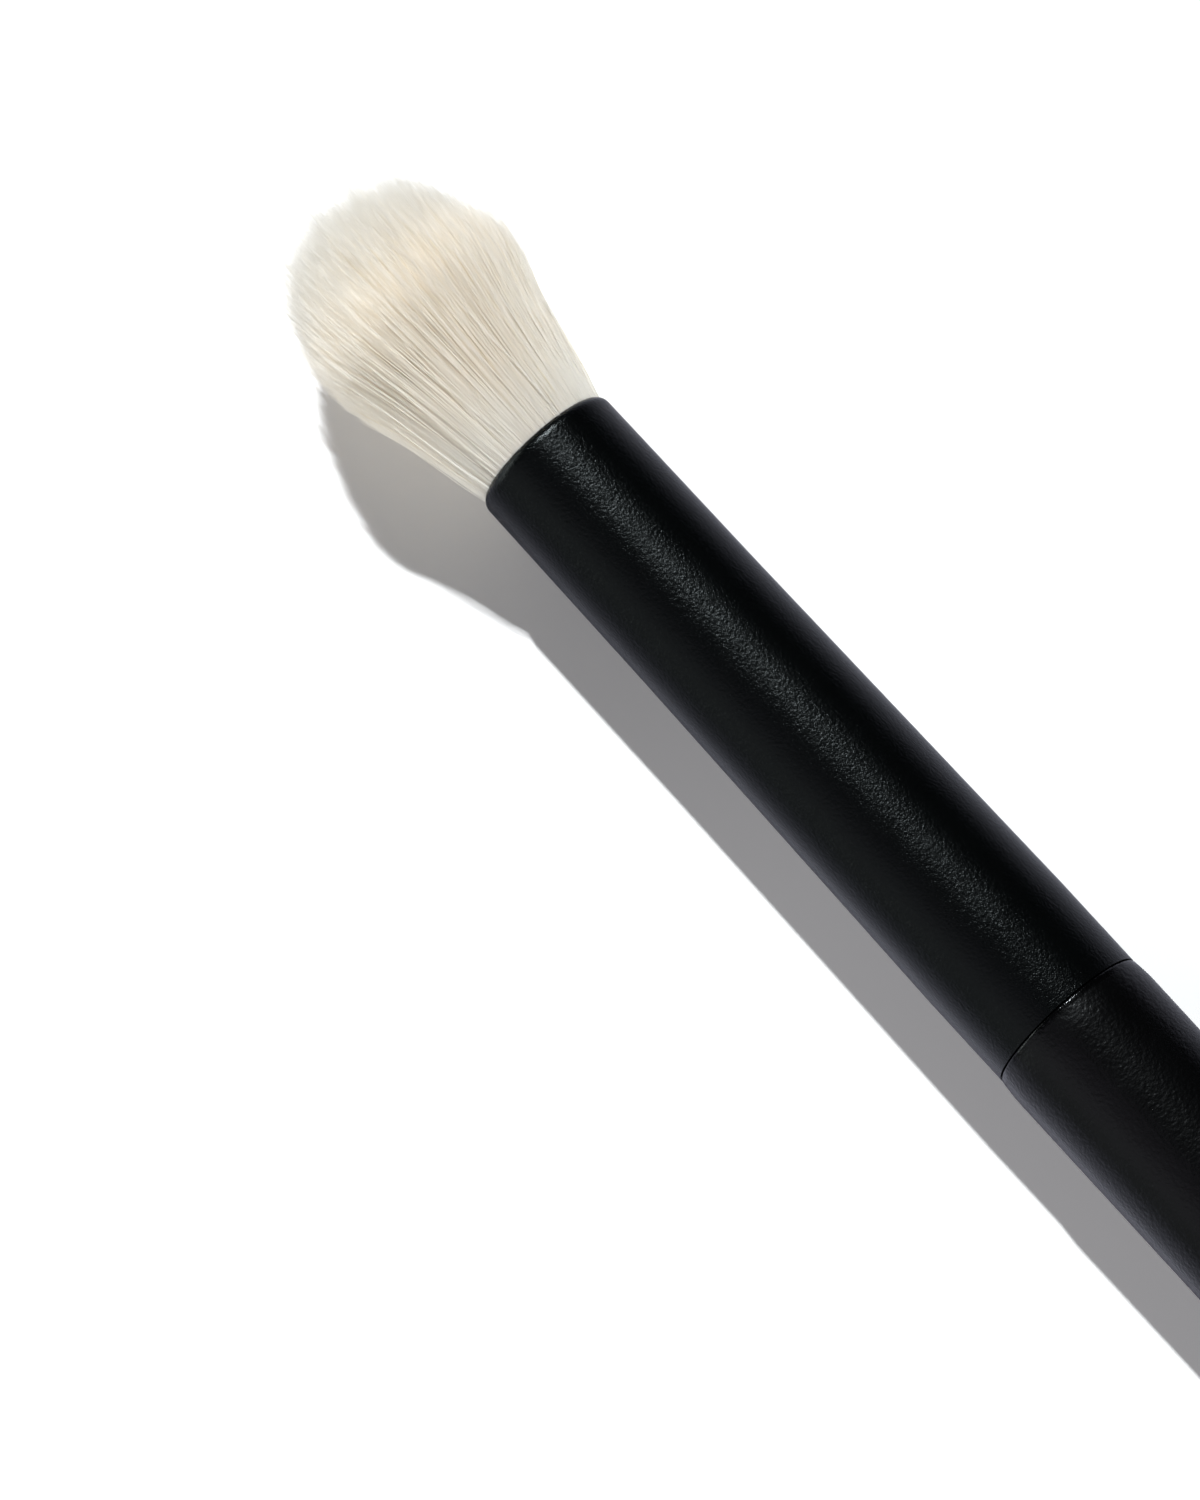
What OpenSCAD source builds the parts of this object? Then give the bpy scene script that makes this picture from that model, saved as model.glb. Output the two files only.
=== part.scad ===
// Eyeshadow brush: a domed hair tuft, bound and glued into a drawn metal ferrule, on a turned handle.
// The brush lies level along X, the tuft towards -X. Places along it are measured from the ferrule's
// mouth, positive towards the handle. The lowest hairs lie at height zero.

/* [Tuft] */
// Length of the hair that stands out of the ferrule
hair_out = 18; // [14:0.5:24]
// Width of the tuft where it is fullest
tuft_d = 13.9; // [12:0.1:17]
// Distance from the mouth to the fullest place
belly_at = 9.6; // [7:0.2:12]
// Length of the packed hair inside the ferrule
hair_in = 13; // [11:0.5:16]
// Depth to which the tuft's underside lies pressed flat
press_depth = 0.5; // [0.3:0.1:0.8]
// Number of strands
strand_n = 300; // [300:2:330]
// Clear room between neighbouring strands
strand_gap = 0.05; // [0.03:0.01:0.12]

/* [Ferrule] */
// Length of the ferrule
ferrule_l = 44; // [42:0.5:50]
// Outside diameter at the mouth
mouth_d = 9; // [8:0.1:9.1]
// Length of the near-straight neck behind the mouth
neck_l = 12.5; // [10:0.5:14]
// Outside diameter at the back of the neck
neck_d = 9.16; // [9.1:0.02:9.3]
// Length of the straight part at the rear edge, behind the cone
rear_l = 6; // [3:0.5:8]
// Outside diameter of the straight part at the rear edge
rear_d = 9.86; // [9.6:0.02:9.9]
// Thickness of the drawn wall
ferrule_wall = 0.4; // [0.3:0.02:0.5]
// Rounding of the mouth's outer edge
lip_r = 0.7; // [0.6:0.05:0.9]

/* [Handle] */
// Length of the handle outside the ferrule
handle_l = 108; // [90:1:130]
// Diameter of the straight part of the handle
handle_d = 10.1; // [10:0.05:11]
// Length of the straight part, from the shoulder
grip_l = 48; // [30:1:60]
// Diameter at the butt end
butt_d = 8.8; // [8.5:0.1:9.6]
// Length over which the handle swells to its full diameter behind the ferrule
swell_l = 1.8; // [1:0.1:3]
// How far its radius falls short of full at the shoulder
swell_t = 0.13; // [0.08:0.01:0.16]
// Rounding of the shoulder's edge
shoulder_r = 0.25; // [0.15:0.01:0.3]
// Rounding of the butt's edge
butt_r = 1.2; // [0.8:0.1:1.6]

/* [Tenon and glue] */
// Length of the tenon inside the ferrule
tenon_l = 18; // [14:0.5:20]
// Thickness of the glue between tenon and ferrule
glue_t = 0.15; // [0.1:0.01:0.2]
// Number of glue grooves round the tenon
groove_n = 3; // [2:1:4]
// Width of a glue groove
groove_w = 1; // [0.8:0.1:1.4]
// Depth of a glue groove
groove_t = 0.3; // [0.2:0.05:0.4]
// Bevel on the tenon's leading edge
tenon_bevel = 0.6; // [0.4:0.1:1]

/* [Root] */
// Thickness of the binding thread
thread_d = 0.35; // [0.25:0.05:0.45]
// Number of turns of thread side by side
thread_turns = 4; // [3:1:6]
// Distance from the root end to the binding
binding_back = 2.5; // [2:0.1:4]
// Length of the resin plug behind the hair roots
plug_l = 4; // [3:0.5:5]
// Depth of the hollow in the back of the plug
meniscus_t = 0.6; // [0.3:0.1:1]

/* [Hidden] */
$fn = 96;

// Clearance between pieces that fit inside one another
fit = 0.02;
// Overrun of every cut
cut = 0.5;

// Lengths and places along the brush
total_l = hair_out + ferrule_l + handle_l;
mouth_x = hair_out - total_l / 2;
cone_end = ferrule_l - rear_l;
tenon_at = ferrule_l - tenon_l;
binding_w = thread_turns * thread_d;
binding_at = hair_in - binding_back - binding_w;
grip_end = ferrule_l + grip_l;
butt_at = ferrule_l + handle_l;

// Height of the axis: the tuft's half width less the depth of its flat. The hairs bend to leave most
// of that depth, and the rest is shaved off them
belly_r = tuft_d / 2;
rest_h = belly_r - press_depth;
shave_t = 0.2;
pressed_h = rest_h + shave_t;

// Places along the ferrule where its slope changes, each with the outside radius there
ferrule_line = [
    [0, mouth_d / 2],
    [lip_r, mouth_d / 2],
    [neck_l, neck_d / 2],
    [cone_end, rear_d / 2],
    [ferrule_l, rear_d / 2]
];

// Radius of the bore, less a clearance, at a place along the ferrule
function bore_r(at, less = 0) = lookup(at, ferrule_line) - ferrule_wall - less;

// Outline points of a body that fills the bore between two places, from front to back
function fill_line(from, to, less = 0) = concat(
    [[bore_r(from, less), from]],
    [for (p = ferrule_line) if (p[0] > from && p[0] < to) [bore_r(p[0], less), p[0]]],
    [[bore_r(to, less), to]]
);

// Turned pieces: an outline of radius and place, spun round the brush's axis
module turned() {
    translate([mouth_x, 0, rest_h]) rotate([0, 90, 0]) rotate_extrude() children();
}

// A solid that fills the bore between two places
module bore_fill(from, to, less = 0) {
    polygon(concat([[0, from]], fill_line(from, to, less), [[0, to]]));
}

// What a rounding removes from an outer edge: way is 1 where the body lies behind the edge
module edge_cut(edge_r, edge_at, round_r, way) {
    difference() {
        translate([edge_r - round_r, way > 0 ? edge_at - cut : edge_at - round_r])
            square([round_r + cut, round_r + cut]);
        translate([edge_r - round_r, edge_at + way * round_r]) circle(round_r);
    }
}

// The tuft's form. Strands are laid out like the seeds of a sunflower, each at its own share of the
// tuft's radius, and swell and close together, so none crosses another.

// Turn from one strand to the next, in degrees
golden_turn = 137.50776;
// Least distance between neighbours in a sunflower of unit radius, times the root of their number
sunflower_step_share = 1.62;
// How far the layout is spread, and the share of the radius at which it stops
spread_share = 1.03;
rim_share = 0.997;
// How much of the flare comes late, towards the fullest place
late_flare_share = 0.25;
// How far a strand closes in again between the fullest place and the tip
closing_share = 0.45;
// Where a strand's last ring lies between the fullest place and its tip, and its rings' thickness
last_ring_share = 0.55;
ring_width_shares = [1, 1, 1, 0.75];
// Number of a strand's sides, and of the facets round the packed hair
sides = 3;
root_facets = 48;

root_r = bore_r(0, fit);
crown_l = hair_out - belly_at;

// Outer radius of the tuft, as its free hairs would stand, at a distance out of the mouth
function flare_share(out) = let(s = out / belly_at) (1 - late_flare_share) * s + late_flare_share * s * s;
function closed_share(out) = closing_share * pow((out - belly_at) / crown_l, 2);
function tuft_r(out) = out < belly_at
    ? root_r + (belly_r - root_r) * flare_share(out)
    : belly_r * (1 - closed_share(out));

// Thickness of a strand, as a radius, where the tuft has a given radius
function strand_r(r) = (r * sunflower_step_share / sqrt(strand_n) - strand_gap) / 2;

// Share of the radius at which a strand stands: the layout is spread a little, up to the rim
function place_share(i) = min(rim_share, spread_share * sqrt((i + 0.5) / strand_n));

// Distance from the mouth to a strand's tip, where its line meets the dome
function tip_out(u) = let(
    c = closing_share,
    b = 1 - 2 * u * u * c,
    q = 2 * (1 - u * u) / (b + sqrt(b * b + 4 * u * u * c * c * (1 - u * u)))
) belly_at + crown_l * sqrt(q);

// Distances from the mouth to a strand's rings
function ring_outs(u) = [0, belly_at / 2, belly_at, belly_at + last_ring_share * (tip_out(u) - belly_at)];

// A point of the tuft, raised where the table presses the underside flat
function pressed(out, y, z) = let(
    column = pow(tuft_r(out), 2) - y * y,
    lift = column > pressed_h * pressed_h ? pressed_h / sqrt(column) : 1
) [-out, y, z < 0 ? z * lift : z];

// One ring of a strand, and the point at its tip
function ring(u, turn, out, width) = let(
    w = strand_r(tuft_r(out)) * width,
    r = u * (tuft_r(out) - strand_r(tuft_r(out)))
) [for (j = [0:sides - 1]) pressed(
    out,
    r * cos(turn) + w * cos(turn + 360 * j / sides),
    r * sin(turn) + w * sin(turn + 360 * j / sides)
)];
function tip(u, turn) = let(
    out = tip_out(u),
    r = u * (tuft_r(out) - strand_r(tuft_r(out)))
) pressed(out, r * cos(turn), r * sin(turn));

module strand(i) {
    u = place_share(i);
    turn = i * golden_turn;
    rings = len(ring_width_shares);
    points = concat(
        [for (k = [0:rings - 1]) each ring(u, turn, ring_outs(u)[k], ring_width_shares[k])],
        [tip(u, turn)]
    );
    base = [[for (j = [0:sides - 1]) sides - 1 - j]];
    flanks = [
        for (k = [0:rings - 2]) for (j = [0:sides - 1])
            let(a = sides * k + j, b = sides * k + (j + 1) % sides)
            each [[a, b, a + sides], [b, b + sides, a + sides]]
    ];
    last = sides * (rings - 1);
    point = [for (j = [0:sides - 1]) [last + j, last + (j + 1) % sides, last + sides]];
    polyhedron(points, concat(base, flanks, point));
}

// Packed hair inside the ferrule, with a waist where the thread binds it
module hair_root() {
    rotate([0, 90, 0]) rotate_extrude($fn = root_facets) difference() {
        bore_fill(0, hair_in, fit);
        translate([bore_r(binding_at, fit) - thread_d, binding_at]) square([thread_d + cut, binding_w]);
    }
}

module hair_tuft() {
    color("ivory") translate([mouth_x, 0, rest_h]) resize([hair_out + hair_in, 0, 0]) difference() {
        union() {
            for (i = [0:strand_n - 1]) strand(i);
            hair_root();
        }
        translate([-hair_out, -belly_r, -rest_h - belly_r]) cube([hair_out, tuft_d, belly_r]);
    }
}

module root_binding() {
    color("gainsboro") turned() difference() {
        bore_fill(binding_at + fit, binding_at + binding_w - fit, fit);
        translate([0, binding_at]) square([bore_r(binding_at, fit) - thread_d + fit, binding_w]);
    }
}

module root_plug() {
    back = hair_in + plug_l;
    hollow_r = (pow(bore_r(back), 2) + meniscus_t * meniscus_t) / (2 * meniscus_t);
    color("goldenrod") turned() difference() {
        bore_fill(hair_in + fit, back, fit);
        translate([0, back - meniscus_t + hollow_r]) circle(hollow_r);
    }
}

module ferrule() {
    color("#101314") turned() difference() {
        polygon(concat(
            [for (p = ferrule_line) [p[1], p[0]]],
            [for (i = [len(ferrule_line) - 1:-1:0]) [bore_r(ferrule_line[i][0]), ferrule_line[i][0]]]
        ));
        edge_cut(mouth_d / 2, 0, lip_r, 1);
    }
}

// What the handle's front lacks of a square edge: a long shallow swell, then a small rounding
module shoulder_cut() {
    swell_r = (swell_l * swell_l + swell_t * swell_t) / (2 * swell_t);
    swell_at = [handle_d / 2 - swell_r, ferrule_l + swell_l];
    inner_r = swell_r - shoulder_r;
    round_at = [
        swell_at[0] + sqrt(pow(inner_r, 2) - pow(swell_l - shoulder_r, 2)),
        ferrule_l + shoulder_r
    ];
    meet = swell_at + (round_at - swell_at) * swell_r / inner_r;
    reach = handle_d / 2 - round_at[0] + cut;
    difference() {
        translate([round_at[0], ferrule_l - cut]) square([reach, swell_l + cut]);
        translate(swell_at) circle(swell_r);
    }
    difference() {
        translate([round_at[0], ferrule_l - cut]) square([reach, meet[1] - ferrule_l + cut]);
        translate(round_at) circle(shoulder_r);
    }
}

// The tenon's outline, grown by a clearance where the glue is cut round it
module tenon_outline(more = 0) {
    difference() {
        bore_fill(tenon_at, ferrule_l, glue_t - more);
        for (i = [1:groove_n]) let(at = tenon_at + i * tenon_l / (groove_n + 1))
            translate([bore_r(at, glue_t - more) - groove_t, at - groove_w / 2 + more])
                square([groove_t + cut, groove_w - 2 * more]);
        translate([bore_r(tenon_at, glue_t) - tenon_bevel, tenon_at]) let(reach = tenon_bevel + cut)
            polygon([[0, -cut], [reach, -cut], [reach, reach], [0, 0]]);
    }
}

module tenon_glue() {
    color("darkgoldenrod") turned() difference() {
        bore_fill(tenon_at + tenon_bevel, ferrule_l - fit, fit);
        tenon_outline(fit);
    }
}

module handle() {
    color("#0d0e10") turned() {
        tenon_outline();
        difference() {
            polygon([
                [0, ferrule_l],
                [handle_d / 2, ferrule_l],
                [handle_d / 2, grip_end],
                [butt_d / 2, butt_at - butt_r],
                [butt_d / 2, butt_at],
                [0, butt_at]
            ]);
            shoulder_cut();
            edge_cut(butt_d / 2, butt_at, butt_r, -1);
        }
    }
}

hair_tuft();
root_binding();
root_plug();
ferrule();
tenon_glue();
handle();
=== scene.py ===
import math

import bpy
import numpy as np
from mathutils import Matrix, Vector


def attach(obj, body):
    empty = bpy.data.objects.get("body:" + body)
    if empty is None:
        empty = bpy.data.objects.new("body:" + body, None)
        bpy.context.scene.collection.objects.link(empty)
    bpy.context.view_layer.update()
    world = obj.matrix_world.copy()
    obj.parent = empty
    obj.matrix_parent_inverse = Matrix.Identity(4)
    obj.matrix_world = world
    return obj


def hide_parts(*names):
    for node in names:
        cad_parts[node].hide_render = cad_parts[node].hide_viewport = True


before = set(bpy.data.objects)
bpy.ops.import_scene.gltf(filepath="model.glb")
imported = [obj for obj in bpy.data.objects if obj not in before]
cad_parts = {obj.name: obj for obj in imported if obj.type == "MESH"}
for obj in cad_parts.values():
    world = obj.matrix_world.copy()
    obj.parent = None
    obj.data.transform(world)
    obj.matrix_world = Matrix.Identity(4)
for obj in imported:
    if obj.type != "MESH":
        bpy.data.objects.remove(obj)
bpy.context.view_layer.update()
print("stage: frame loaded")

mm = 0.001               # metres in a millimetre, in which the hairs are worked out
perMetre = 1000.0        # millimetres in a metre

# the brush lies along X: hair towards -X, handle towards +X (metres)
brush = {
    "mouthX": -0.067,        # the ferrule's open end
    "shoulderX": -0.023,     # its rear end, at the handle's shoulder
    "axisHeight": 0.00645,
    "touchX": -0.0766,       # where the hair rests on the table
    "tableSlope": 0.01278,   # the butt end rests 2 mm higher in this frame
}


def deselectAll():
    if bpy.context.object and bpy.context.object.mode != "OBJECT":
        bpy.ops.object.mode_set(mode="OBJECT")
    bpy.ops.object.select_all(action="DESELECT")


class Shade:
    # wraps one output socket of a node tree
    def __init__(self, tree, socket=None):
        self.tree = tree
        self.socket = socket

    def node(self, kind, settings=None, values=None, output=0):
        made = self.tree.nodes.new(kind)
        for name, setting in (settings or {}).items():
            if name == "stops":
                ramp = made.color_ramp
                for place, colour in setting[1:-1]:
                    ramp.elements.new(place)
                for element, (place, colour) in zip(ramp.elements, setting):
                    element.position = place
                    element.color = (*colour, 1.0)
            else:
                setattr(made, name, setting)
        for name, value in (values or {}).items():
            if isinstance(value, Shade):
                self.tree.links.new(value.socket, made.inputs[name])
            elif value is not None:
                made.inputs[name].default_value = value
        return Shade(self.tree, made.outputs[output] if len(made.outputs) else None)

    def sum(self, operation, first, second=None):
        return self.node("ShaderNodeMath", {"operation": operation}, {0: first, 1: second})

    def __add__(self, other):
        return self.sum("ADD", self, other)

    __radd__ = __add__

    def __mul__(self, other):
        return self.sum("MULTIPLY", self, other)

    __rmul__ = __mul__

    def __sub__(self, other):
        return self.sum("SUBTRACT", self, other)

    def __rsub__(self, other):
        return self.sum("SUBTRACT", other, self)

    def __truediv__(self, other):
        return self.sum("DIVIDE", self, other)

    def __rtruediv__(self, other):
        return self.sum("DIVIDE", other, self)

    def between(self, low, high, lowOut=0.0, highOut=1.0):
        return self.node("ShaderNodeMapRange", {"interpolation_type": "SMOOTHSTEP"},
                         {0: self, 1: low, 2: high, 3: lowOut, 4: highOut})

    def blend(self, first, second):
        # this socket as the factor between two colours
        first = (*first, 1.0) if isinstance(first, tuple) else first
        second = (*second, 1.0) if isinstance(second, tuple) else second
        return self.node("ShaderNodeMix", {"data_type": "RGBA"}, {0: self, 6: first, 7: second}, 2)


def newMaterial(name):
    material = bpy.data.materials.new(name)
    material.use_nodes = True
    material.node_tree.nodes.clear()
    return material, Shade(material.node_tree)


def giveSurface(shade, surface):
    shade.node("ShaderNodeOutputMaterial", {}, {"Surface": surface})


def objectPlace(shade):
    return shade.node("ShaderNodeTexCoord", {}, {}, "Object")


def axisParts(shade, vector):
    split = shade.node("ShaderNodeSeparateXYZ", {}, {0: vector})
    node = split.socket.node
    return [Shade(shade.tree, node.outputs[n]) for n in range(3)]


def noiseOn(shade, vector, scale, detail=2.0, roughness=0.5):
    return shade.node("ShaderNodeTexNoise", {}, {
        "Vector": vector, "Scale": scale, "Detail": detail, "Roughness": roughness})


def bumpOn(shade, height, distance, strength=1.0):
    return shade.node("ShaderNodeBump", {}, {
        "Strength": strength, "Distance": distance, "Height": height})


cameraView = {
    "distance": 1.2,
    "elevation": 78.0,       # degrees over the table, from the butt's side
    "roll": -47.4897,        # degrees
    "lens": 518.7203,
    "sensor": 36.0,
    "clip": (0.05, 50.0),
    "lookAt": (-0.0520622, -0.0089385, 0.00645),
}


def placeCamera(view):
    rise = math.radians(view["elevation"])
    towards = Vector((math.cos(rise), 0.0, math.sin(rise)))
    along = (Vector((1, 0, 0)) - towards * towards.x).normalized()
    across = towards.cross(along)
    roll = math.radians(view["roll"])
    right = along * math.cos(roll) - across * math.sin(roll)
    upward = along * math.sin(roll) + across * math.cos(roll)
    data = bpy.data.cameras.new("studioCamera")
    data.lens = view["lens"]
    data.sensor_width = view["sensor"]
    data.clip_start, data.clip_end = view["clip"]
    camera = bpy.data.objects.new("studioCamera", data)
    bpy.context.scene.collection.objects.link(camera)
    turn = Matrix((right, upward, towards)).transposed().to_4x4()
    turn.translation = Vector(view["lookAt"]) + towards * view["distance"]
    camera.matrix_world = turn
    bpy.context.scene.camera = camera


placeCamera(cameraView)
bpy.context.scene.view_settings.view_transform = "Standard"
# white hair only looks white when light may bounce on through many hairs
lightBounces = 96
bpy.context.scene.cycles.max_bounces = lightBounces
bpy.context.scene.cycles.diffuse_bounces = lightBounces
bpy.context.scene.cycles.transmission_bounces = lightBounces
print("stage: camera set")


studio = {
    "lampTowards": (-0.80, 0.42, 1.0),
    "lampAim": (-0.06, 0.0, 0.005),
    "lampDistance": 0.35,
    "lampPower": 6.5,
    "lampRadius": 0.004,     # sets the shadow's soft edge
    "lampColour": (0.975, 1.0, 1.01),
    "boxCorner": (-0.080, -0.035, 0.25),
    "boxSize": (0.45, 0.50),
    "boxTurn": -17.6,        # degrees
    "boxGlow": 0.46,
    "boxColour": (1.08, 0.95, 1.10),
    # the room, by the direction that its light comes from (shares of X, Y and Z)
    "fillColour": (0.98, 1.035, 0.99, 1.0),
    "ambient": 0.026,
    "horizon": (-0.05, 0.05),
    "endFill": 0.20,         # soft light from beyond the butt end
    "endSpan": (0.45, 0.8),
    "sideFill": 0.38,        # soft light from the side that the shadow falls to
    "sideSpan": (0.5, 0.75),
    "flankFill": 4.5,        # low cards at both ends of that side
    "flankEnds": (0.35, 0.6),
    "flankSide": (0.2, 0.45),
    "flankTop": (0.15, 0.35),
}


def lightStudio(light):
    data = bpy.data.lights.new("keyLamp", "POINT")
    data.energy = light["lampPower"]
    data.shadow_soft_size = light["lampRadius"]
    data.color = light["lampColour"]
    lamp = bpy.data.objects.new("keyLamp", data)
    towards = Vector(light["lampTowards"]).normalized()
    lamp.location = Vector(light["lampAim"]) + towards * light["lampDistance"]
    bpy.context.scene.collection.objects.link(lamp)

    # one soft box over the side that the shadow falls to, its corner over the ferrule
    data = bpy.data.lights.new("softBox", "AREA")
    data.shape = "RECTANGLE"
    data.size, data.size_y = light["boxSize"]
    data.energy = light["boxGlow"] * math.pi * data.size * data.size_y
    data.color = light["boxColour"]
    box = bpy.data.objects.new("softBox", data)
    turn = math.radians(light["boxTurn"])
    reach = Vector((data.size / 2, -data.size_y / 2, 0.0))
    reach.rotate(Matrix.Rotation(turn, 3, "Z"))
    box.location = Vector(light["boxCorner"]) + reach
    box.rotation_euler = (0.0, 0.0, turn)
    bpy.context.scene.collection.objects.link(box)

    world = bpy.data.worlds.new("studioWorld")
    bpy.context.scene.world = world
    world.use_nodes = True
    world.node_tree.nodes.clear()
    shade = Shade(world.node_tree)
    towards = shade.node("ShaderNodeTexCoord", {}, {}, "Generated")
    x, y, z = axisParts(shade, towards)
    ends = x.between(*light["endSpan"])
    side = (0.0 - y).between(*light["sideSpan"])
    above = z.between(*light["horizon"])
    cards = (shade.sum("ABSOLUTE", x).between(*light["flankEnds"])
             * (0.0 - y).between(*light["flankSide"])
             * z.between(*light["flankTop"], 1.0, 0.0))
    level = light["ambient"] + (ends * light["endFill"] + side * light["sideFill"]
                                + cards * light["flankFill"]) * above
    soft = shade.node("ShaderNodeBackground", {}, {
        "Color": light["fillColour"], "Strength": level})
    white = shade.node("ShaderNodeBackground", {}, {
        "Color": (1.0, 1.0, 1.0, 1.0), "Strength": 1.0})
    seen = shade.node("ShaderNodeLightPath", {}, {}, "Is Camera Ray")
    mixed = shade.node("ShaderNodeMixShader", {}, {0: seen, 1: soft, 2: white})
    shade.node("ShaderNodeOutputWorld", {}, {"Surface": mixed})


lightStudio(studio)
print("stage: light set")


table = {
    "side": 4.0,
    "gap": 0.00001,          # under the brush
    "seenColour": 0.93,      # white paper, as the camera sees it at the tuft
    "seenFar": 1.16,         # and on the handle's side, painted brighter there to make up for the lamp being further off
    "farAlong": (-0.066, -0.036),
    "litColour": 0.85,       # what it throws back on the brush
    "fibreScale": 900.0,
    "fibreShade": 0.01,
    # painted reflection: how bright the paper shows in the black finishes, on the lamp's side and
    # on the other
    "paintedLampShine": 0.52,
    "lampAcross": 0.04,
    "paintedSideShine": (0.44, 0.72),
    "sideAlong": (-0.064, -0.015),
    "sideAcross": (-0.25, -0.04),
    "halves": (-0.004, 0.004),
    "paintedBlueShine": 0.16,       # how much bluer the painted reflection is than the paper
}


def layTable(spec):
    deselectAll()
    bpy.ops.mesh.primitive_plane_add(size=spec["side"])
    top = bpy.context.object
    top.name = "table_top"
    top.rotation_euler = (0.0, -math.atan(brush["tableSlope"]), 0.0)
    top.location = (brush["touchX"], 0.0, -spec["gap"])
    bpy.ops.object.transform_apply(location=True, rotation=True, scale=True)
    material, shade = newMaterial("palePaperWithPaintedShine")
    path = shade.node("ShaderNodeLightPath")
    camera, glossy, through = [Shade(shade.tree, path.socket.node.outputs[name]) for name in
                               ("Is Camera Ray", "Is Glossy Ray", "Is Transmission Ray")]
    seen = shade.sum("MAXIMUM", shade.sum("MAXIMUM", camera, glossy), through)
    place = objectPlace(shade)
    x, y, _ = axisParts(shade, place)
    fibre = noiseOn(shade, place, spec["fibreScale"], 3.0) * spec["fibreShade"]
    lit = shade.node("ShaderNodeBsdfDiffuse", {}, {"Color": (*[spec["litColour"]] * 3, 1.0)})
    # painted reflection: for glossy rays the paper is painted darker past its near stretch and
    # away from the lamp, so the black finishes mirror a dim room
    spot = y / spec["lampAcross"]
    paintedLampPool = shade.sum("EXPONENT", 0.0 - spot * spot) * spec["paintedLampShine"]
    paintedFarShine = y.between(*spec["sideAcross"]) * x.between(*spec["sideAlong"], *spec["paintedSideShine"])
    half = y.between(*spec["halves"])
    # painted light fall-off, seen only in reflections of the paper
    paintedGlossLevel = glossy * (half * paintedLampPool + (1.0 - half) * paintedFarShine - 1.0) + 1.0
    # painted light: the paper is shown brighter where the lamp's light falls off
    white = x.between(*spec["farAlong"], spec["seenColour"], spec["seenFar"])
    value = (white - fibre) * paintedGlossLevel
    pale = shade.node("ShaderNodeCombineColor", {}, {
        0: value, 1: value, 2: value * (glossy * spec["paintedBlueShine"] + 1.0)})
    shown = shade.node("ShaderNodeBsdfDiffuse", {}, {"Color": pale})
    mixed = shade.node("ShaderNodeMixShader", {}, {0: seen, 1: lit, 2: shown})
    giveSurface(shade, mixed)
    top.data.materials.append(material)


layTable(table)
print("stage: table laid")


goatHair = {
    "tones": 96,             # columns of the hair's own map, one tone each
    # the colour along a hair, from its root to its tip
    "along": ((0.0, (0.989, 0.980, 0.960)), (0.25, (0.989, 0.980, 0.960)),
              (0.52, (0.993, 0.979, 0.951)), (0.79, (0.999, 0.987, 0.961)),
              (0.94, (0.978, 0.966, 0.942))),
    "innerTipShade": (0.912, 0.903, 0.883),   # painted shade on the tips that stand between the others
    "tipSpan": (0.83, 0.96),
    # how much darker a tone may be: everywhere, more at the tips and on the outermost hairs
    "toneAll": 0.006,
    "toneTip": 0.05,
    "toneOuter": 0.022,
    "dark": (0.935, 0.90, 0.82),         # darker stretches of a few outermost hairs
    "darkTones": (0.92, 0.97),
    "darkPatch": (0.35, 0.65),
    "patchRun": 9.0,
    "otherDraw": 57.3,       # any number, for a second draw for each column
    "rough": 0.42,
    "ior": 1.5,
    "throughShare": 0.8,
}


def hairFinish(spec):
    material, shade = newMaterial("goatHair")
    flat = shade.node("ShaderNodeUVMap", {"uv_map": "OFBake"})
    u, v, _ = axisParts(shade, flat)
    column = shade.sum("FLOOR", u * spec["tones"])
    oneD = {"noise_dimensions": "1D"}
    tone = shade.node("ShaderNodeTexWhiteNoise", oneD, {"W": column})
    second = shade.node("ShaderNodeTexWhiteNoise", oneD, {"W": column + spec["otherDraw"]})
    length = shade.node("ShaderNodeValToRGB", {"stops": spec["along"]}, {0: v})
    # the second half of the columns is for the outermost hairs, which differ more
    outer = shade.sum("GREATER_THAN", u, 0.5)
    tips = v.between(*spec["tipSpan"])
    # painted shade: the tips of all but the outermost hairs are darker
    length = (tips * (1.0 - outer)).blend(length, spec["innerTipShade"])
    lift = 1.0 - tone * (outer * spec["toneOuter"] + tips * spec["toneTip"] + spec["toneAll"])
    toned = shade.node("ShaderNodeVectorMath", {"operation": "SCALE"}, {0: length, "Scale": lift})
    strands = shade.node("ShaderNodeCombineXYZ", {}, {0: column, 1: v * spec["patchRun"], 2: 0.0})
    patch = noiseOn(shade, strands, 1.0).between(*spec["darkPatch"])
    picked = second.between(*spec["darkTones"]) * patch * outer
    shaded = picked.blend(toned, spec["dark"])
    hair = shade.node("ShaderNodeBsdfPrincipled", {}, {
        "Base Color": shaded, "Roughness": spec["rough"], "IOR": spec["ior"]})
    through = shade.node("ShaderNodeBsdfTranslucent", {}, {"Color": shaded})
    mixed = shade.node("ShaderNodeMixShader", {}, {0: spec["throughShare"], 1: hair, 2: through})
    giveSurface(shade, mixed)
    return material


strand = {
    # rings along the hair as shares of its length, the last one is the point
    "rings": (0.0, 0.13, 0.27, 0.41, 0.55, 0.69, 0.82, 0.92, 1.0),
    "thickness": (0.80, 0.92, 1.0, 1.0, 0.94, 0.80, 0.58, 0.34, 0.0),
    "across": (0.0, 0.35, 1.0),   # a direction that no hair runs in
    "mapSide": (0.1, 0.8),        # where its map starts, and how far it goes, in a column
    "mapEnd": (0.01, 0.98),       # and from root to tip
}


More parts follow.
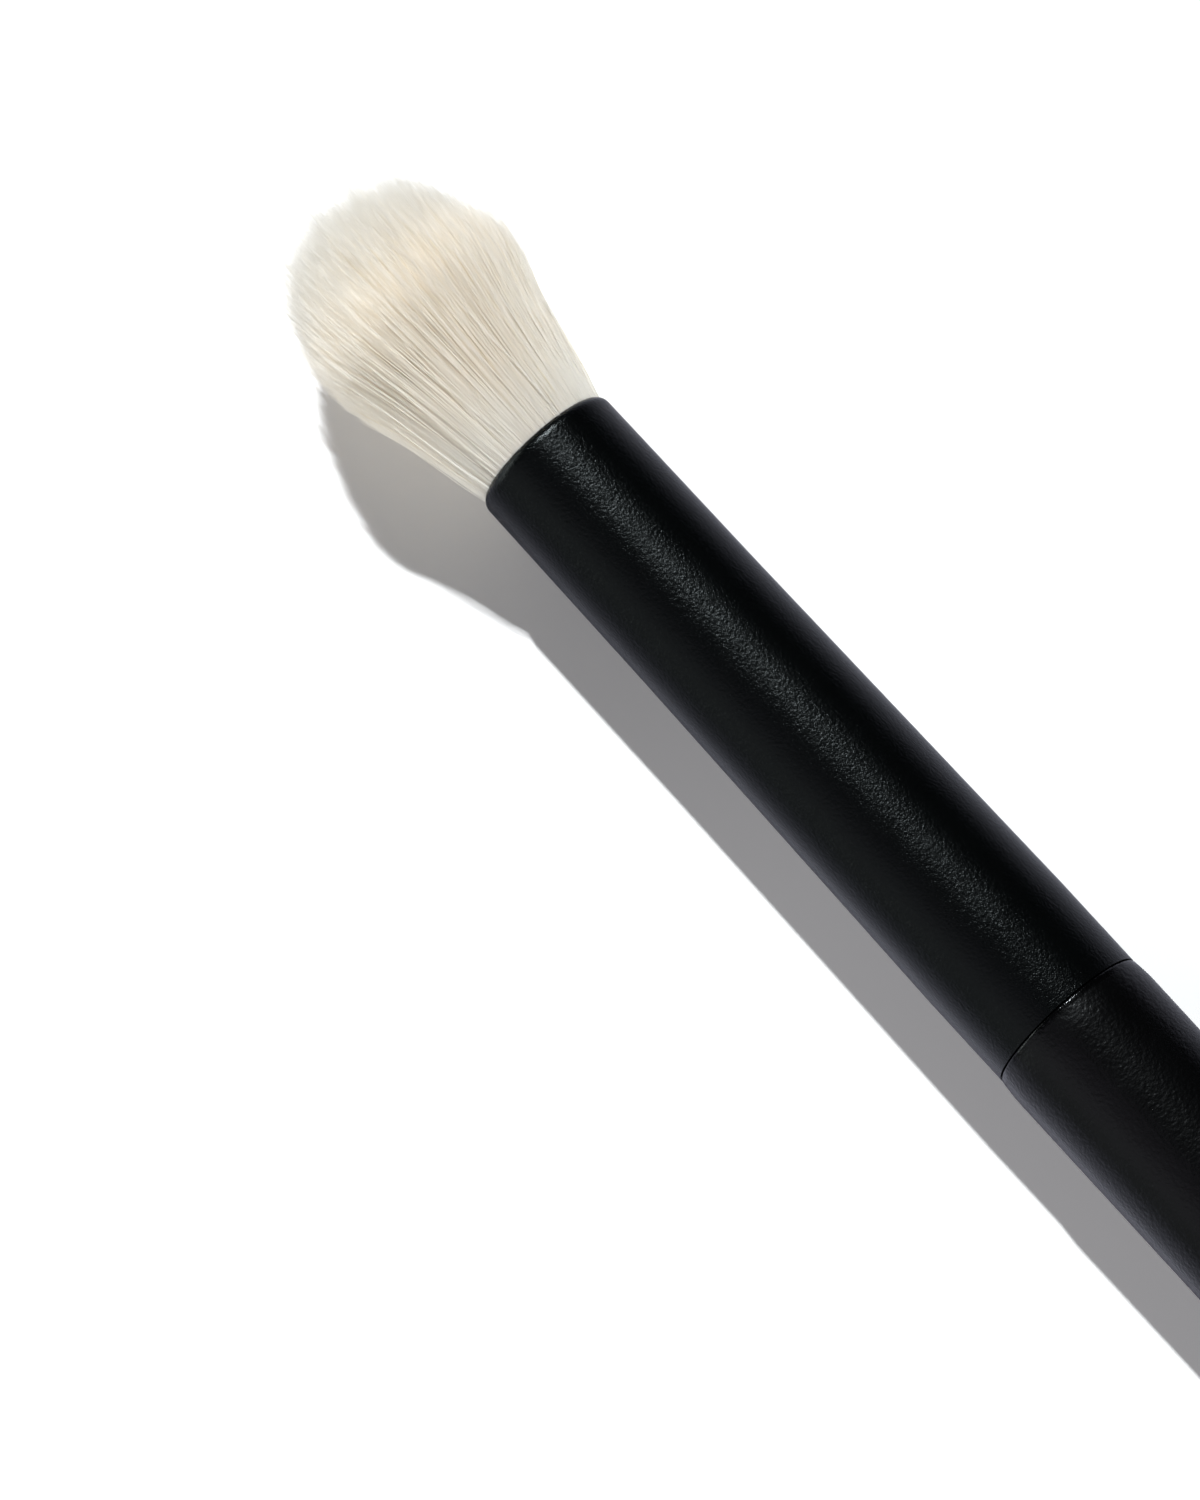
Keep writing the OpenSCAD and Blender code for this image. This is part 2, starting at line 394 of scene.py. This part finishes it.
def modelHair(spec):
    deselectAll()
    bpy.ops.mesh.primitive_circle_add(vertices=3, radius=1.0, fill_type="NGON")
    hair = bpy.context.object
    bpy.ops.object.mode_set(mode="EDIT")
    bpy.ops.mesh.select_all(action="SELECT")
    for low, high in zip(spec["rings"], spec["rings"][1:]):
        bpy.ops.mesh.extrude_region_move(TRANSFORM_OT_translate={"value": (0.0, 0.0, high - low)})
    bpy.ops.mesh.merge(type="CENTER")
    bpy.ops.mesh.select_all(action="SELECT")
    bpy.ops.mesh.normals_make_consistent(inside=False)
    bpy.ops.object.mode_set(mode="OBJECT")
    mesh = hair.data
    points = np.empty(len(mesh.vertices) * 3)
    mesh.vertices.foreach_get("co", points)
    points = points.reshape(-1, 3)
    faces = [tuple(face.vertices) for face in mesh.polygons]
    bpy.data.objects.remove(hair)
    return points, faces


hairPoints, hairFaces = modelHair(strand)
print("stage: one hair modelled,", len(hairPoints), "points,", len(hairFaces), "faces")


tuft = {
    "hairs": 18000,
    "locks": 320,
    "shells": ("heart", "inner", "middle", "outer", "skin"),   # from the axis outwards
    "seed": 11,
    "rootDepth": 1.5,        # mm inside the mouth
    "hairRadius": 0.032,     # mm
    "radiusVaries": 0.005,
    "radiusSpan": (0.020, 0.050),
    # how far the bundle spreads (mm out of the mouth, mm from the axis)
    "spread": ((-2.0, 4.12), (0.0, 4.18), (0.57, 4.38), (2.3, 4.72), (4.5, 5.22), (6.8, 5.84),
               (8.5, 6.44), (9.6, 6.80), (11.3, 7.20), (13.0, 7.48), (15.0, 7.70), (18.5, 7.90)),
    "widest": 7.22,          # mm from the axis
    # where the tips end
    "dome": ((9.4, 7.0), (10.2, 6.93), (11.3, 6.77), (13.0, 6.29), (14.2, 5.78), (15.3, 5.15),
             (16.4, 4.16), (17.0, 3.47), (17.6, 2.40), (17.9, 1.3), (18.0, 0.0)),
    # how much further the tips reach from side to side (share of the width, mm)
    "lean": ((-1.0, -0.9), (-0.9, 0.40), (-0.68, 0.78), (-0.5, 0.80), (-0.25, 0.62), (0.0, 0.40),
             (0.25, 0.30), (0.5, 0.55), (0.68, 0.66), (0.85, 0.35), (1.0, 0.95)),
    "rimShort": 0.55,        # mm that the tips end earlier at the rim
    "lockLength": 0.28,      # mm that whole locks differ in length
    "tipVaries": (0.08, 0.38),   # mm for single hairs, the middle and the spread
    "tipMost": 0.60,
    "shortShare": 0.22,      # of the hairs end early
    "shortBy": (0.5, 3.5),   # mm
    "rootWobble": 0.6,       # how far the hairs and locks stand off their even pattern
    "lockWobble": 0.5,
    "clump": (0.0, 0.045),   # how much the hairs of a lock draw together
    "gather": (0.05, 0.55),  # where along the hair: the start and the stretch
    "loosen": (0.7, 0.3, 0.4),   # and the same where they part again, and how far
    "lockDrift": 0.05,       # mm at the tips
    "hairDrift": 0.17,
    "driftRun": 18.0,        # mm out of the mouth
    "driftBend": 1.2,
    "lockWave": 0.015,       # mm
    "lockTurn": 5.0,         # radians from root to tip
    "hairWave": 0.05,        # mm
    "hairTurns": (0.8, 2.2),     # waves from root to tip
    "strays": 260,           # single hairs that cross over the others
    "strayRim": (0.90, 1.0),
    "strayTwist": 0.15,      # radians round the axis at their tips
    "strayLift": 0.14,       # mm off the bundle
    "strayArch": 0.8,
    "outerFrom": 0.82,       # share of the radius that the outermost hairs start at
    "pressHeight": 0.6,      # mm over the table where hairs start to flatten
    "pressLeast": 0.05,
}


def tableBend(points):
    # hairs near the table flatten against it (all in mm, in place)
    low = brush["tableSlope"] * (points[..., 0] - brush["touchX"] * perMetre)
    start, least = tuft["pressHeight"], tuft["pressLeast"]
    over = points[..., 2] - low
    bent = least + (start - least) * np.exp(np.minimum(over - start, 0.0) / (start - least))
    points[..., 2] = np.where(over < start, low + bent, points[..., 2])


def hairMesh(name, centres, radii, columns):
    # centres: hairs x rings x 3 in mm, radii: hairs, columns: the tone column of each hair
    count = len(centres)
    rings = np.asarray(strand["rings"])
    ringOf = np.abs(hairPoints[:, 2][:, None] - rings[None, :]).argmin(axis=1)
    run = np.gradient(centres, axis=1)
    run /= np.linalg.norm(run, axis=2, keepdims=True)
    sideways = np.cross(run, np.array(strand["across"]))
    sideways /= np.linalg.norm(sideways, axis=2, keepdims=True)
    upwards = np.cross(sideways, run)
    thick = np.asarray(strand["thickness"])[ringOf]
    reach = radii[:, None] * thick[None, :]
    # the modelled hair runs along +Z, its ring's X and Y go to sideways and upwards
    points = (centres[:, ringOf] + sideways[:, ringOf] * (hairPoints[:, 0] * reach)[..., None]
              + upwards[:, ringOf] * (hairPoints[:, 1] * reach)[..., None])
    points = points.reshape(-1, 3) * mm
    loops = np.concatenate([np.asarray(face) for face in hairFaces])
    sizes = np.array([len(face) for face in hairFaces])
    step = np.arange(count)[:, None] * len(hairPoints)
    mesh = bpy.data.meshes.new(name)
    mesh.vertices.add(len(points))
    mesh.vertices.foreach_set("co", points.astype(np.float32).ravel())
    allLoops = (loops[None, :] + step).ravel()
    mesh.loops.add(len(allLoops))
    mesh.loops.foreach_set("vertex_index", allLoops.astype(np.int32))
    starts = np.concatenate([[0], np.cumsum(np.tile(sizes, count))[:-1]])
    mesh.polygons.add(len(starts))
    mesh.polygons.foreach_set("loop_start", starts.astype(np.int32))
    mesh.polygons.foreach_set("use_smooth", np.zeros(len(starts), dtype=bool))
    turn = np.arctan2(hairPoints[:, 1], hairPoints[:, 0]) / math.tau + 0.5
    start, stretch = strand["mapSide"]
    u = (columns[:, None] + start + stretch * turn[None, loops]) / goatHair["tones"]
    start, stretch = strand["mapEnd"]
    v = np.broadcast_to(rings[ringOf][loops] * stretch + start, u.shape)
    layer = mesh.uv_layers.new(name="OFBake")
    layer.data.foreach_set("uv", np.stack([u, v], axis=2).astype(np.float32).ravel())
    mesh.update(calc_edges=True)
    mesh.validate()
    piece = bpy.data.objects.new(name, mesh)
    bpy.context.scene.collection.objects.link(piece)
    return piece


def sunflower(count, rng, wobble):
    # even points on a disc of radius 1, as the seeds stand in a sunflower
    n = np.arange(count)
    radius = np.sqrt((n + 0.5) / count)
    angle = n * math.pi * (3.0 - math.sqrt(5.0))
    points = np.stack([radius * np.cos(angle), radius * np.sin(angle)], axis=1)
    points += rng.normal(0.0, wobble / math.sqrt(count), points.shape)
    size = np.linalg.norm(points, axis=1)
    return points / np.maximum(size, 1.0)[:, None]


def sowHairs(spec, rng):
    # where each hair starts, the strays last, and what it gets from its lock
    locks = spec["locks"]
    roots = sunflower(spec["hairs"], rng, spec["rootWobble"])
    angle = rng.uniform(0.0, math.tau, spec["strays"])
    rim = rng.uniform(*spec["strayRim"], spec["strays"])
    roots = np.concatenate([roots, np.stack([rim * np.cos(angle), rim * np.sin(angle)], axis=1)])
    middles = sunflower(locks, rng, spec["lockWobble"])
    nearest = ((roots[:, None, :] - middles[None, :, :]) ** 2).sum(axis=2).argmin(axis=1)
    return {
        "roots": roots,
        "distance": np.linalg.norm(roots, axis=1),
        "stray": np.arange(len(roots)) >= spec["hairs"],
        "lockMiddle": middles[nearest],
        "clump": rng.uniform(*spec["clump"], locks)[nearest],
        "lockShift": rng.normal(0.0, spec["lockDrift"], (locks, 2))[nearest],
        "lockPhase": rng.uniform(0.0, math.tau, (locks, 2))[nearest],
        "lockWave": np.abs(rng.normal(0.0, spec["lockWave"], (locks, 2)))[nearest],
        "lockLength": rng.normal(0.0, spec["lockLength"], locks)[nearest],
        "shift": rng.normal(0.0, spec["hairDrift"], roots.shape),
        "phase": rng.uniform(0.0, math.tau, roots.shape),
        "turns": rng.uniform(*spec["hairTurns"], roots.shape),
        "wave": np.abs(rng.normal(0.0, spec["hairWave"], roots.shape)),
    }


def cutTips(spec, rng, hairs):
    # how far out of the mouth each hair ends, in mm
    spreadOut, spreadRadius = np.array(spec["spread"]).T
    domeOut, domeRadius = np.array(spec["dome"]).T
    share = domeRadius / np.interp(domeOut, spreadOut, spreadRadius)
    distance = hairs["distance"]
    count = len(distance)
    tip = np.interp(-distance, -share, domeOut)
    short = rng.random(count) < spec["shortShare"]
    varied = np.minimum(rng.normal(*spec["tipVaries"], count), spec["tipMost"])
    tip += varied + hairs["lockLength"]
    leaned = np.interp(hairs["roots"][:, 0], *np.array(spec["lean"]).T)
    tip += leaned - spec["rimShort"] * distance ** 3
    tip -= np.where(short, rng.uniform(*spec["shortBy"], count), 0.0)
    return tip


def bendHairs(spec, rng, hairs, tip):
    # the middle of each hair at each of its rings, in mm
    roots, stray = hairs["roots"], hairs["stray"]
    s = np.asarray(strand["rings"])[None, :]
    out = -spec["rootDepth"] + (tip[:, None] + spec["rootDepth"]) * s
    start, stretch = spec["gather"]
    gather = np.clip((s - start) / stretch, 0.0, 1.0)
    start, stretch, loose = spec["loosen"]
    loosened = 1.0 - loose * np.clip((s - start) / stretch, 0.0, 1.0)
    gather = gather * gather * (3.0 - 2.0 * gather) * loosened
    pull = (np.where(stray, 0.0, hairs["clump"])[:, None] * gather)[..., None]
    flat = roots[:, None, :] + (hairs["lockMiddle"] - roots)[:, None, :] * pull
    radius = np.interp(out, *np.array(spec["spread"]).T)[..., None]
    grow = np.clip(out / spec["driftRun"], 0.0, 1.0)[..., None]
    across = (flat * radius + hairs["lockShift"][:, None, :] * grow
              + hairs["shift"][:, None, :] * grow ** spec["driftBend"])
    lockTurn = s[..., None] * spec["lockTurn"] + hairs["lockPhase"][:, None, :]
    across = across + hairs["lockWave"][:, None, :] * np.sin(lockTurn) * grow
    hairTurn = s[..., None] * hairs["turns"][:, None, :] * math.tau + hairs["phase"][:, None, :]
    across = across + hairs["wave"][:, None, :] * grow * np.sin(hairTurn)
    twist = rng.normal(0.0, spec["strayTwist"], len(roots)) * stray
    lifted = np.abs(rng.normal(0.0, spec["strayLift"], len(roots))) * stray
    arch = np.sin(math.pi * s ** spec["strayArch"])
    size = np.linalg.norm(across, axis=2) + lifted[:, None] * arch
    size = np.minimum(size, spec["widest"])
    turned = np.arctan2(across[..., 1], across[..., 0]) + twist[:, None] * s
    centres = np.empty((*out.shape, 3))
    centres[..., 0] = brush["mouthX"] * perMetre - out
    centres[..., 1] = size * np.cos(turned)
    centres[..., 2] = brush["axisHeight"] * perMetre + size * np.sin(turned)
    tableBend(centres)
    return centres


def growTuft(spec):
    rng = np.random.default_rng(spec["seed"])
    hairs = sowHairs(spec, rng)
    centres = bendHairs(spec, rng, hairs, cutTips(spec, rng, hairs))
    count = len(centres)
    radii = np.clip(rng.normal(spec["hairRadius"], spec["radiusVaries"], count),
                    *spec["radiusSpan"])
    half = goatHair["tones"] // 2
    outermost = hairs["distance"] > spec["outerFrom"]
    columns = rng.integers(0, half, count) + np.where(outermost, half, 0)

    order = np.argsort(hairs["distance"][:spec["hairs"]])
    parts = np.array_split(order, len(spec["shells"])) + [np.flatnonzero(hairs["stray"])]
    finish = hairFinish(goatHair)
    pieces = []
    for name, part in zip((*spec["shells"], "stray"), parts):
        piece = hairMesh("tuft_hair_" + name, centres[part], radii[part], columns[part])
        piece.data.materials.append(finish)
        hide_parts("hair_tuft")
        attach(piece, "root")
        pieces.append(piece)
    return pieces


tuftPieces = growTuft(tuft)
print("stage: tuft grown,", len(tuftPieces), "pieces")


def packedFinish(name, spec):
    # hairs so close that only their grain along the brush shows
    material, shade = newMaterial(name)
    stretched = shade.node("ShaderNodeMapping", {}, {
        "Vector": objectPlace(shade), "Scale": (spec["grainRun"], 1.0, 1.0)})
    grain = noiseOn(shade, stretched, spec["grainScale"])
    colour = grain.between(*spec["grainSpan"]).blend(spec["dark"], spec["pale"])
    bumped = bumpOn(shade, grain, spec["grainHeight"], spec["grainBump"])
    body = shade.node("ShaderNodeBsdfPrincipled", {}, {
        "Base Color": colour, "Roughness": spec["rough"],
        "Specular IOR Level": spec["specular"], "Normal": bumped})
    giveSurface(shade, body)
    return material


core = {
    "front": 15.2,           # mm out of the mouth
    "back": -1.0,
    "steps": 26,
    "crowding": 1.3,         # of the steps towards the dome
    "sides": 56,
    "rootInset": 0.25,       # mm under the outer hairs at the mouth
    "domeInset": 2.3,        # and from insetRun on
    "insetRun": 10.0,        # mm out of the mouth
    "domeFrom": 6.0,         # mm out of the mouth, where it starts to follow the dome
    "domeAhead": 0.75,       # how far inside the dome it stays, as shares of the inset
    "domeWithin": 0.65,
    "least": 0.15,           # mm, its radius at the front
    "overTable": 0.15,       # mm more than the hairs under it
    "grainScale": 9000.0,
    "grainRun": 0.06,
    "grainSpan": (0.35, 0.65),
    "grainHeight": 0.00004,
    "grainBump": 0.5,
    "dark": (0.95, 0.92, 0.86),
    "pale": (0.99, 0.975, 0.94),
    "rough": 0.7,
    "specular": 0.1,
}


def coreShape(spec):
    # places out of the mouth and the radius at each, in mm
    shares = np.linspace(0.0, 1.0, spec["steps"])
    crowded = 1.0 - (1.0 - shares) ** spec["crowding"]
    outs = spec["back"] + (spec["front"] - spec["back"]) * crowded
    deep = np.clip(outs / spec["insetRun"], 0.0, 1.0)
    inset = spec["rootInset"] + (spec["domeInset"] - spec["rootInset"]) * deep
    radii = np.interp(outs, *np.array(tuft["spread"]).T) - inset
    ahead = np.interp(outs + spec["domeInset"] * spec["domeAhead"], *np.array(tuft["dome"]).T)
    domed = np.minimum(radii, ahead - inset * spec["domeWithin"])
    radii = np.where(outs > spec["domeFrom"], domed, radii)
    return outs, np.maximum(radii, spec["least"])


def packCore(spec):
    # the close-packed hairs deep inside, which no light gets between
    outs, radii = coreShape(spec)
    deselectAll()
    bpy.ops.mesh.primitive_circle_add(
        vertices=spec["sides"], radius=radii[0] * mm, fill_type="NGON",
        location=(brush["mouthX"] - outs[0] * mm, 0.0, brush["axisHeight"]),
        rotation=(0.0, -math.pi / 2, 0.0))
    body = bpy.context.object
    body.name = "tuft_core"
    bpy.ops.object.transform_apply(location=True, rotation=True, scale=True)
    bpy.ops.object.mode_set(mode="EDIT")
    bpy.ops.mesh.select_all(action="SELECT")
    for n in range(1, len(outs)):
        place = brush["mouthX"] - outs[n] * mm
        bpy.ops.mesh.extrude_region_move(
            TRANSFORM_OT_translate={"value": ((outs[n - 1] - outs[n]) * mm, 0.0, 0.0)})
        size = float(radii[n] / radii[n - 1])
        bpy.ops.transform.resize(
            value=(1.0, size, size), center_override=(place, 0.0, brush["axisHeight"]))
    bpy.ops.mesh.merge(type="CENTER")
    bpy.ops.mesh.select_all(action="SELECT")
    bpy.ops.mesh.normals_make_consistent(inside=False)
    bpy.ops.object.mode_set(mode="OBJECT")
    points = np.empty(len(body.data.vertices) * 3)
    body.data.vertices.foreach_get("co", points)
    points = points.reshape(-1, 3) * perMetre
    points[:, 2] -= spec["overTable"]
    tableBend(points)
    points[:, 2] += spec["overTable"]
    body.data.vertices.foreach_set("co", points.ravel() * mm)
    bpy.ops.object.shade_smooth()
    body.data.materials.append(packedFinish("packedGoatHair", spec))
    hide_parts("hair_tuft")
    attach(body, "root")


packCore(core)
print("stage: core packed")


packed = {
    "front": -0.0672,        # the roots of the hairs fill the mouth (metres)
    "back": -0.0541,
    "radius": 0.00406,
    "sides": 64,
    # the crown between the hairs: share of the radius, and how far it stands out
    "crown": ((0.3, 0.0003), (0.4, 0.0002)),
    "grainScale": 12000.0,
    "grainRun": 0.05,
    "grainSpan": (0.35, 0.65),
    "grainHeight": 0.00003,
    "grainBump": 0.6,
    "dark": (0.34, 0.31, 0.25),
    "pale": (0.78, 0.73, 0.62),
    "rough": 0.6,
    "specular": 0.5,
}


def packRoots(spec):
    deselectAll()
    length = spec["back"] - spec["front"]
    bpy.ops.mesh.primitive_cylinder_add(
        vertices=spec["sides"], radius=spec["radius"], depth=length,
        location=((spec["front"] + spec["back"]) / 2, 0.0, brush["axisHeight"]),
        rotation=(0.0, -math.pi / 2, 0.0), end_fill_type="NGON")
    roots = bpy.context.object
    roots.name = "tuft_packed_roots"
    bpy.ops.object.transform_apply(location=True, rotation=True, scale=True)
    bpy.ops.object.mode_set(mode="EDIT")
    bpy.ops.mesh.select_all(action="DESELECT")
    bpy.ops.object.mode_set(mode="OBJECT")
    for face in roots.data.polygons:
        face.select = face.normal.x < -0.9
    bpy.ops.object.mode_set(mode="EDIT")
    for share, height in spec["crown"]:
        bpy.ops.mesh.inset(thickness=spec["radius"] * share, depth=height)
    bpy.ops.object.mode_set(mode="OBJECT")
    roots.data.materials.append(packedFinish("packedHair", spec))
    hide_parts("hair_tuft")
    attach(roots, "root")


packRoots(packed)
print("stage: roots packed")


def dress(nodeName, material):
    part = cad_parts[nodeName]
    if len(part.material_slots):
        for socket in part.material_slots:
            socket.material = material
    else:
        part.data.materials.append(material)


ferruleFinish = {
    "grainScale": 5400.0,    # 0.2 mm blasted grains, and finer ones on them
    "grainDetail": 3.0,
    "grainFine": 0.68,
    "grainHeight": 0.000038,
    "cloudScale": 420.0,     # slow changes in the gloss
    "cloudRough": 0.04,
    "roughFront": 0.245,
    "roughBack": 0.252,
    "roughLip": 0.13,        # the rounded edge of the mouth is smoother
    "lipEnd": (-0.0668, -0.0662),
    "toneSpan": (0.3, 0.7),
    "dark": (0.0003, 0.0005, 0.0006),
    "pale": (0.0007, 0.0010, 0.0011),
    "ior": 1.25,
    "tint": (0.88, 0.98, 1.0, 1.0),
}


def blackFerrule(spec):
    material, shade = newMaterial("blackAnodised")
    place = objectPlace(shade)
    x, _, _ = axisParts(shade, place)
    grain = noiseOn(shade, place, spec["grainScale"], spec["grainDetail"], spec["grainFine"])
    cloud = noiseOn(shade, place, spec["cloudScale"])
    bumped = bumpOn(shade, grain, spec["grainHeight"])
    rough = (x.between(brush["mouthX"], brush["shoulderX"], spec["roughFront"], spec["roughBack"])
             + (cloud - 0.5) * spec["cloudRough"])
    behindLip = x.between(*spec["lipEnd"])
    rough = behindLip * rough + (1.0 - behindLip) * spec["roughLip"]
    colour = grain.between(*spec["toneSpan"]).blend(spec["dark"], spec["pale"])
    black = shade.node("ShaderNodeBsdfPrincipled", {}, {
        "Base Color": colour, "Roughness": rough, "IOR": spec["ior"],
        "Specular Tint": spec["tint"], "Normal": bumped})
    giveSurface(shade, black)
    dress("ferrule", material)


handleFinish = {
    "grainScale": 4000.0,    # softer, broader grain than the ferrule's
    "grainHeight": 0.000035,
    "cloudScale": 300.0,
    "cloudDetail": 3.0,
    "cloudRough": 0.06,
    "rough": 0.31,
    "roughShoulder": 0.16,   # the edge of its shoulder is smoother
    "shoulderEnd": (-0.0228, -0.0224),
    "toneSpan": (0.3, 0.7),
    "dark": (0.0004, 0.0004, 0.0005),
    "pale": (0.0008, 0.0008, 0.0010),
    "ior": 1.28,
    "tint": (0.92, 0.97, 1.0, 1.0),
}


def blackHandle(spec):
    material, shade = newMaterial("satinBlackLacquer")
    place = objectPlace(shade)
    x, _, _ = axisParts(shade, place)
    grain = noiseOn(shade, place, spec["grainScale"])
    cloud = noiseOn(shade, place, spec["cloudScale"], spec["cloudDetail"])
    bumped = bumpOn(shade, grain, spec["grainHeight"])
    behindEdge = x.between(*spec["shoulderEnd"])
    rough = (behindEdge * (spec["rough"] + (cloud - 0.5) * spec["cloudRough"])
             + (1.0 - behindEdge) * spec["roughShoulder"])
    colour = cloud.between(*spec["toneSpan"]).blend(spec["dark"], spec["pale"])
    black = shade.node("ShaderNodeBsdfPrincipled", {}, {
        "Base Color": colour, "Roughness": rough, "IOR": spec["ior"],
        "Specular Tint": spec["tint"], "Normal": bumped})
    giveSurface(shade, black)
    dress("handle", material)


threadFinish = {
    "pitch": 0.00035,
    "groove": (0.35, 0.33, 0.29),
    "thread": (0.62, 0.60, 0.55),
    "fuzzScale": 9000.0,
    "fuzzDetail": 3.0,
    "fuzzShare": 0.3,
    "height": 0.00005,
    "rough": 0.75,
}


def waxedThread(spec):
    material, shade = newMaterial("waxedThread")
    place = objectPlace(shade)
    x, y, z = axisParts(shade, place)
    around = shade.sum("ARCTAN2", y, z - brush["axisHeight"])
    turns = shade.sum("SINE", x * (math.tau / spec["pitch"]) + around)
    fuzz = noiseOn(shade, place, spec["fuzzScale"], spec["fuzzDetail"])
    colour = (turns * 0.5 + 0.5).blend(spec["groove"], spec["thread"])
    bumped = bumpOn(shade, turns * 0.5 + fuzz * spec["fuzzShare"], spec["height"])
    body = shade.node("ShaderNodeBsdfPrincipled", {}, {
        "Base Color": colour, "Roughness": spec["rough"], "Normal": bumped})
    giveSurface(shade, body)
    dress("root_binding", material)


resinFinish = {
    "swirlScale": 700.0,
    "swirlDetail": 3.0,
    "toneSpan": (0.3, 0.7),
    "dark": (0.40, 0.24, 0.07),
    "pale": (0.55, 0.36, 0.12),
    "roughSpan": (0.2, 0.8),
    "rough": (0.18, 0.32),
    "ior": 1.5,
}


def curedResin(spec):
    material, shade = newMaterial("curedResin")
    swirl = noiseOn(shade, objectPlace(shade), spec["swirlScale"], spec["swirlDetail"])
    colour = swirl.between(*spec["toneSpan"]).blend(spec["dark"], spec["pale"])
    body = shade.node("ShaderNodeBsdfPrincipled", {}, {
        "Base Color": colour, "Roughness": swirl.between(*spec["roughSpan"], *spec["rough"]),
        "IOR": spec["ior"]})
    giveSurface(shade, body)
    dress("root_plug", material)
    dress("tenon_glue", material)


blackFerrule(ferruleFinish)
blackHandle(handleFinish)
waxedThread(threadFinish)
curedResin(resinFinish)
print("stage: finishes on")
